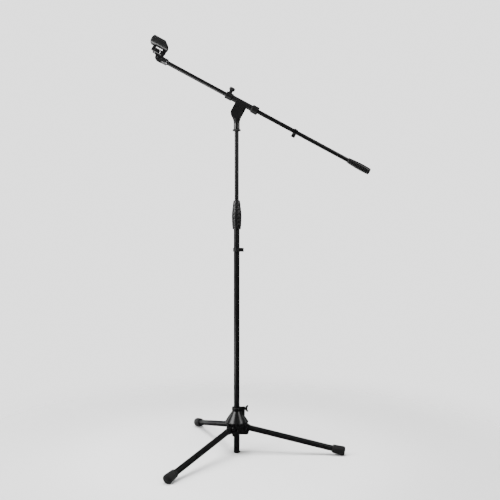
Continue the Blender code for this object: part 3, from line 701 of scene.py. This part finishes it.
def build_head_locks():
    """The bolt, washer and knob that lock the tilt, and the thumb knob that locks the boom."""
    bolt = along("Y", turned(softened([(0, -10), (3, -10), (3, 24), (0, 24)], 0.4, 3), 40))
    piece("tilt_bolt_turned", bolt, STEEL, "boom_holder", "tilt_bolt", place=BOOM_FRAME)
    washer = along("Y", pipe(3.4 * MM, 9 * MM, 13.3 * MM, 14.5 * MM, 0.3 * MM))
    piece("tilt_washer_turned", washer, STEEL, "boom_holder", "tilt_washer", place=BOOM_FRAME)
    head = lobed(17 * MM, 3 * MM, 6, 20 * MM, 34 * MM, 3 * MM)
    neck = pipe(0, 8 * MM, 14.8 * MM, 22 * MM, 0.8 * MM)
    knob = moulding([head, neck], [drill(BOLT_HOLE_R, 10 * MM, 25 * MM, 40)], 0.4 * MM, 3, 0.5)
    piece("tilt_knob_moulding", along("Y", knob), KNOB_PLASTIC, "tilt_knob", "tilt_knob", place=BOOM_FRAME,
          sharp=60)
    head = lobed(11 * MM, 1.1 * MM, 10, 22.4 * MM, 34 * MM, 2 * MM, 12)
    collar = turned(softened([(0, 20.7), (6, 20.7), (9.6, 22.4), (9.6, 24), (0, 24)], 0.6, 3), 64)
    shank = pipe(0, 2.5 * MM, 9.7 * MM, 24 * MM, 0.3 * MM, 32)
    knob = moulding([head, collar, shank], (), 0.3 * MM, 3, 0.5)
    up_from_boom = BOOM_AXIS @ Matrix.Translation((0, 0, LOCK_AHEAD)) @ Matrix.Rotation(pi / 2, 4, "Y")
    piece("thumb_knob_moulding", knob, KNOB_PLASTIC, "thumb_knob", "thumb_knob", place=up_from_boom, sharp=60)


# ---------------------------------------------------------------- boom

def build_boom():
    """The counter grip at the rear, the washer and stud at the front, and the stud of the upper tube."""
    base = -BOOM_REAR
    outline = [(8.6, 0.2), (11, 1.2), (12.2, 3.6), (12.7, 8), (13.3, 22), (13.5, 36), (12.9, 56), (11.8, 73),
               (10.7, 86), (10.2, 90.4), (9.2, 92)]
    hollow = [(8.35, 91.6), (8.3, 8), (1, 7.6), (1, 0.2)]
    outline = [(r * MM, base + z * MM) for r, z in outline]
    hollow = [(r * MM, base + z * MM) for r, z in hollow]
    grip = dimpled_grip(outline, hollow, 8, 11.5 * MM, 0.9 * MM, 3.2 * MM, 4.4 * MM, 160, 210)
    piece("boom_grip_rubber", grip, GRIP_RUBBER, "boom", "boom_grip", place=BOOM_AXIS, sharp=70)
    crown = turned(in_mm([(0, 0), (3, 0.05), (6, 0.25), (9, 0.9), (9, 5.5), (0, 5.5)]), 80)
    piece("boom_grip_crown", moved(crown, (0, 0, base)), GRIP_RUBBER, "boom", place=BOOM_AXIS)
    washer = pipe(5.1 * MM, 12.5 * MM, BOOM_FRONT + 1.2 * MM, BOOM_FRONT + 3.8 * MM, 0.5 * MM)
    piece("boom_end_washer_turned", washer, DULL_STEEL, "boom", "boom_end_washer", place=BOOM_AXIS)
    stud = threaded_stud(BOOM_FRONT, 0.9 * MM, 17 * MM)
    piece("boom_stud_threaded", stud, STEEL, "boom", "boom_stud", place=BOOM_AXIS)
    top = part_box("upper_tube")[1][2]
    stud = threaded_stud(top, 0.9 * MM, 24 * MM)
    piece("top_stud_threaded", stud, DULL_STEEL, "upper_pole", "top_stud")


def threaded_stud(tube_end, low, high):
    """A plug in the tube's end with a shoulder and a 3/8 inch stud; its thread is a run of ridges."""
    root, crest, plug, shoulder = 4.3 * MM, 4.76 * MM, 6.7 * MM, 8 * MM
    outline = [(0, -22 * MM), (plug, -22 * MM), (plug, 0.3 * MM), (shoulder, 0.3 * MM), (shoulder, low),
               (root, low)]
    at = low + 0.6 * MM
    while at < high - THREAD_PITCH:
        outline += [(root, at), (crest, at + THREAD_PITCH * 0.45), (root, at + THREAD_PITCH * 0.9)]
        at += THREAD_PITCH
    outline += [(4 * MM, high), (3.6 * MM, high + 0.7 * MM), (0, high + 0.7 * MM)]
    return turned([(radius, tube_end + z) for radius, z in outline], 48)


# ---------------------------------------------------------------- microphone clip

def build_clip():
    build_clip_base()
    at_pivot = BOOM_AXIS @ Matrix.Translation((0, 0, CLIP_AHEAD))
    build_stem(at_pivot)
    at_pin = BOOM_FRAME @ Matrix.Translation((JAW_RISE, 0, CLIP_AHEAD))
    ahead = JAW_AHEAD - CLIP_AHEAD
    for name, side in (("front", -1), ("rear", 1)):
        jaw = jaw_mesh(name, side, ahead)
        piece(f"clip_jaw_{name}_moulding", jaw, CLIP_PLASTIC, f"jaw_{name}", f"clip_jaw_{name}", place=at_pin,
              sharp=60)
    pin = pipe(0, PIN_R, ahead - 30 * MM, ahead + 23.5 * MM, 0.5 * MM, 32)
    piece("jaw_pin_turned", pin, DARK_STEEL, "clip_stem", "jaw_pin", place=at_pin)
    spring = coil(2.85 * MM, 0.6 * MM, ahead - 16.6 * MM, ahead - 7 * MM, 6)
    piece("jaw_spring_coil", spring, STEEL, "clip_stem", "jaw_spring", place=at_pin)


def build_clip_base():
    """The barrel that screws on the boom, its brass thread insert, the forked ear and the tilt screw."""
    low, tilt, ear_r = BOOM_FRONT / MM + 4.2, 353, 12
    barrel = softened([(0, low), (11.3, low), (12.3, low + 1), (12.3, low + 22), (0, low + 22)], 0.6, 3)
    ear = [(-ear_r, 336), (-ear_r, tilt)]
    ear += [(-ear_r * cos(a), tilt + ear_r * sin(a)) for a in np.linspace(pi / 24, pi, 24)]
    ear += [(ear_r, 336)]
    adds = [turned(barrel), extruded(in_mm(ear), -12 * MM, 12 * MM, "XZ")]
    cuts = [block((-FAR, -6.2 * MM, 340.6 * MM), (FAR, 6.2 * MM, 0.4)),
            drill(7.7 * MM, 0.3, (low + 16) * MM, 64),
            along("Y", drill(CLIP_SCREW_HOLE_R, -20 * MM, 20 * MM, 32), (0, CLIP_AHEAD))]
    base = moulding(adds, cuts, 0.4 * MM, 4, 0.45)
    piece("clip_base_moulding", base, CLIP_PLASTIC, "clip_base", "clip_base", place=BOOM_AXIS, sharp=60)
    insert = softened([(5, low + 0.3), (7.4, low + 0.3), (7.4, low + 15.6), (5, low + 15.6)], 0.4, 3)
    piece("thread_insert_turned", turned(insert, 48), BRASS, "clip_base", "thread_insert", place=BOOM_AXIS)
    screw = softened([(0, -14.6), (3.6, -14.6), (4.4, -13.6), (4.4, -12.3), (2.3, -12.3), (2.3, 12.3),
                      (4.4, 12.3), (4.4, 13.6), (3.6, 14.6), (0, 14.6)], 0.4, 3)
    slot = block((-5 * MM, -0.5 * MM, -16 * MM), (5 * MM, 0.5 * MM, -13.8 * MM))
    screw = as_bmesh(combined(as_object(turned(screw, 48)), slot, "DIFFERENCE"))
    at_pivot = BOOM_AXIS @ Matrix.Translation((0, 0, CLIP_AHEAD))
    piece("clip_tilt_screw_turned", along("Y", screw), DARK_STEEL, "clip_base", "clip_tilt_screw",
          place=at_pivot)


def build_stem(at_pivot):
    """The stem: a tongue in the base's fork, a web and the lug that carries the jaws' pin."""
    ahead = (JAW_AHEAD - CLIP_AHEAD) / MM
    rise = (JAW_RISE - BOOM_RISE) / MM
    tongue_r, lug_half = 8.5, 5.7
    outline = [(-tongue_r * sin(a), -tongue_r * cos(a)) for a in np.linspace(-0.4 * pi, 0.6 * pi, 24)]
    outline += [(9, ahead + lug_half), (15, ahead + lug_half), (15, ahead - lug_half)]
    lug = pipe(0, LUG_R, (ahead - lug_half) * MM, (ahead + lug_half) * MM, 0.4 * MM, 48)
    adds = [extruded(softened(outline, 1.2, 3), -5.8 * MM, 5.8 * MM, "XZ"),
            block((12 * MM, -3.4 * MM, (ahead - 5.5) * MM), (rise * MM, 3.4 * MM, (ahead + 5.5) * MM)),
            moved(lug, (rise * MM, 0, 0))]
    cuts = [along("Y", drill(CLIP_SCREW_HOLE_R, -20 * MM, 20 * MM, 32)),
            moved(drill(PIN_HOLE_R, -0.05, 0.1, 32), (rise * MM, 0, 0))]
    stem = moulding(adds, cuts, 0.35 * MM, 4, 0.5)
    piece("clip_stem_moulding", stem, CLIP_PLASTIC, "clip_stem", "clip_stem", place=at_pivot, sharp=60)


def coil(radius, wire, low, high, turns):
    """A close-wound helix of round wire with its ends capped."""
    steps, around = turns * 28, 8
    bm = bmesh.new()
    rings = []
    for k in range(steps + 1):
        angle = 2 * pi * turns * k / steps
        height = low + (high - low) * k / steps
        outward = Vector((cos(angle), sin(angle), 0))
        centre = outward * radius + Vector((0, 0, height))
        rings.append([bm.verts.new(centre + wire * (outward * cos(b) + Vector((0, 0, sin(b)))))
                      for b in (2 * pi * n / around for n in range(around))])
    for first, second in zip(rings, rings[1:]):
        for n in range(around):
            after = (n + 1) % around
            bm.faces.new((first[n], first[after], second[after], second[n]))
    bm.faces.new(rings[0])
    bm.faces.new(rings[-1])
    return bm


def jaw_mesh(name, side, ahead):
    """Half a sleeve above the pin, a squeeze handle with two windows below it, and two knuckles
    on the pin."""
    height = (SHELL_RISE - (JAW_RISE - BOOM_RISE)) / MM
    outer, inner = SHELL_R / MM, (SHELL_R - SHELL_WALL) / MM
    section = [(height + x, y) for x, y in arc(outer, 14, 160, 40)]
    section += [(6.4, 5.4), (3.5, 5.4), (-13, 25), (-15, 23.4), (-1.6, 4.3), (4.6, 0.6), (8.9, 0.6)]
    section += [(height + x, y) for x, y in arc(inner, 171, 14, 40)]
    low, high = ahead - 30.5 * MM, ahead + 40 * MM
    thing = as_object(extruded(in_mm(section), low, high))
    front = [(-20, 18), (-16, 18.5), (0, 22.9), (7.6, 22.9), (7.6, 33.5), (12, 37.5), (18, 39.5), (31, 39.5),
             (40, 38), (48, 35), (48, 60), (-20, 60)]
    rear = [(-20, -20), (0, -30), (18, -30), (25, -28.3), (30, -25.7), (35.5, -20.6), (41, -13.6), (48, -4),
            (48, -60), (-20, -60)]
    for waste in (front, rear):
        outline = [(x * MM, ahead + z * MM) for x, z in waste]
        combined(thing, extruded(outline, -0.05, 0.05, "XZ"), "DIFFERENCE")
    combined(thing, drill(LUG_ROOM_R, low - 0.01, high + 0.01, 48), "DIFFERENCE")
    slit = (4.3, 10.1, -15.8, 12.6)
    front_window, rear_window = (-12, 0.5, 7.5, 12.2), (-12, 0.5, -14.5, -6.5)
    for bottom, top, start, end in (slit, front_window, rear_window):
        hole = block((bottom * MM, -30 * MM, ahead + start * MM), (top * MM, 30 * MM, ahead + end * MM))
        combined(thing, hole, "DIFFERENCE")
    knuckles = {"front": ((13, 17.5), (-23.4, -18)), "rear": ((18, 22.5), (-29.2, -23.8))}
    for start, end in knuckles[name]:
        span = (ahead + start * MM, ahead + end * MM)
        combined(thing, pipe(0, LUG_R, *span, 0.3 * MM, 48), "UNION")
        combined(thing, extruded(in_mm([(0.3, 1.2), (0.3, 3.3), (6.1, 3.3), (6.1, 1.2)]), *span), "UNION")
    combined(thing, drill(PIN_HOLE_R, low - 0.01, high + 0.01, 40), "DIFFERENCE")
    bm = as_bmesh(thing)
    if side < 0:
        bm.transform(Matrix.Scale(-1, 4, (0, 1, 0)))
        bmesh.ops.reverse_faces(bm, faces=bm.faces)
    return moulding([bm], (), 0.3 * MM, 4, 0.4)


# ---------------------------------------------------------------- inner pieces that keep their CAD shape

def dress_inner_nodes():
    kept = {"clutch_body": KNOB_PLASTIC, "clutch_collet": KNOB_PLASTIC, "upper_tube_guide": KNOB_PLASTIC,
            "friction_disc": RUBBER, "hub_clamp_pad": BRASS, "boom_clamp_pad": BRASS}
    for name, finish in kept.items():
        node = frame["nodes"][name]
        for slot in node.material_slots:
            slot.material = finish


# ---------------------------------------------------------------- stage

def build_stage():
    """A pale floor that fades into the backdrop away from the stand."""
    floor = as_object(extruded([(-3, -3), (3, -3), (3, 3), (-3, 3)], -0.02, -0.0002), "studio_floor")
    pale = bpy.data.materials.new("studio_floor")
    pale.use_nodes = True
    nodes, links = pale.node_tree.nodes, pale.node_tree.links
    shader = nodes["Principled BSDF"]
    shader.inputs["Base Color"].default_value = (0.9, 0.9, 0.9, 1)
    shader.inputs["Roughness"].default_value = 0.8
    shader.inputs["Specular IOR Level"].default_value = 0.1
    place = nodes.new("ShaderNodeTexCoord")
    far = nodes.new("ShaderNodeVectorMath")
    far.operation = "LENGTH"
    links.new(place.outputs["Object"], far.inputs[0])
    fade = nodes.new("ShaderNodeMapRange")
    fade.interpolation_type = "SMOOTHSTEP"
    fade.inputs["From Min"].default_value = 0.45
    fade.inputs["From Max"].default_value = 1.5
    fade.inputs["To Min"].default_value = 1.0
    fade.inputs["To Max"].default_value = 0.0
    links.new(far.outputs["Value"], fade.inputs["Value"])
    links.new(fade.outputs["Result"], shader.inputs["Alpha"])
    floor.data.materials.append(pale)
    floor.visible_glossy = False


def softbox(name, azimuth, elevation, distance, size, power, glossy=True):
    """A soft light aimed at the stand; its azimuth is measured from the photographer's side, to the right."""
    across, up = radians(azimuth), radians(elevation)
    out = Vector((sin(across) * cos(up), -cos(across) * cos(up), sin(up)))
    panel(name, Vector((0, 0, 0.8)) + out * distance, -out, size, power).visible_glossy = glossy


def panel(name, place, facing, size, power):
    """A rectangular area light that the camera doesn't see."""
    data = bpy.data.lights.new(name, "AREA")
    data.shape = "RECTANGLE"
    data.size, data.size_y = size
    data.energy = power
    light = bpy.data.objects.new(name, data)
    bpy.context.collection.objects.link(light)
    light.location = place
    light.rotation_euler = Vector(facing).to_track_quat("-Z", "Y").to_euler()
    light.visible_camera = False
    return light


def build_lights():
    """A dim room, a white backdrop, tall softboxes on both sides, a large one overhead and two low cards."""
    world = bpy.data.worlds.new("studio")
    world.use_nodes = True
    nodes, links = world.node_tree.nodes, world.node_tree.links
    room = nodes["Background"]
    room.inputs["Color"].default_value = (1, 1, 1, 1)
    room.inputs["Strength"].default_value = 0.09
    backdrop = nodes.new("ShaderNodeBackground")
    backdrop.inputs["Color"].default_value = (1, 1, 1, 1)
    backdrop.inputs["Strength"].default_value = 2.2
    seen = nodes.new("ShaderNodeLightPath")
    either = nodes.new("ShaderNodeMixShader")
    links.new(seen.outputs["Is Camera Ray"], either.inputs["Fac"])
    links.new(room.outputs["Background"], either.inputs[1])
    links.new(backdrop.outputs["Background"], either.inputs[2])
    links.new(either.outputs["Shader"], nodes["World Output"].inputs["Surface"])
    bpy.context.scene.world = world
    softbox("left_softbox", -63, 30, 2.3, (1.4, 1.9), 90)
    softbox("right_softbox", 60, 30, 2.3, (0.8, 1.9), 30)
    softbox("left_rim_softbox", -124, 4, 2.4, (0.6, 2.4), 13)
    softbox("right_rim_softbox", 118, 4, 2.4, (0.3, 2.4), 5)
    softbox("top_softbox", 0, 88, 2.4, (1.8, 1.8), 185, glossy=False)
    panel("low_rear_card", (0, 1.35, 0.01), (0, 0, 1), (0.8, 1.9), 20)
    panel("low_left_card", (-1.5, -0.75, 0.01), (0, 0, 1), (1.2, 1.3), 60)


def build_camera():
    data = bpy.data.cameras.new("camera")
    data.lens = 53.64
    data.sensor_width = 36
    data.shift_y = -0.06
    camera = bpy.data.objects.new("camera", data)
    bpy.context.collection.objects.link(camera)
    camera.location = (0.0295, -2.7795, 0.884)
    aim = Vector((0.0497, 0, 0.869))
    camera.rotation_euler = (aim - camera.location).to_track_quat("-Z", "Y").to_euler()
    bpy.context.scene.camera = camera


def main():
    build_camera()
    build_lights()
    build_stage()
    build_tubes()
    build_hub()
    build_legs()
    build_clutch()
    build_cable_clips()
    build_pole_ends()
    build_neck()
    build_boom_clamp()
    build_head_locks()
    build_boom()
    build_clip()
    dress_inner_nodes()
    bpy.context.view_layer.update()


main()
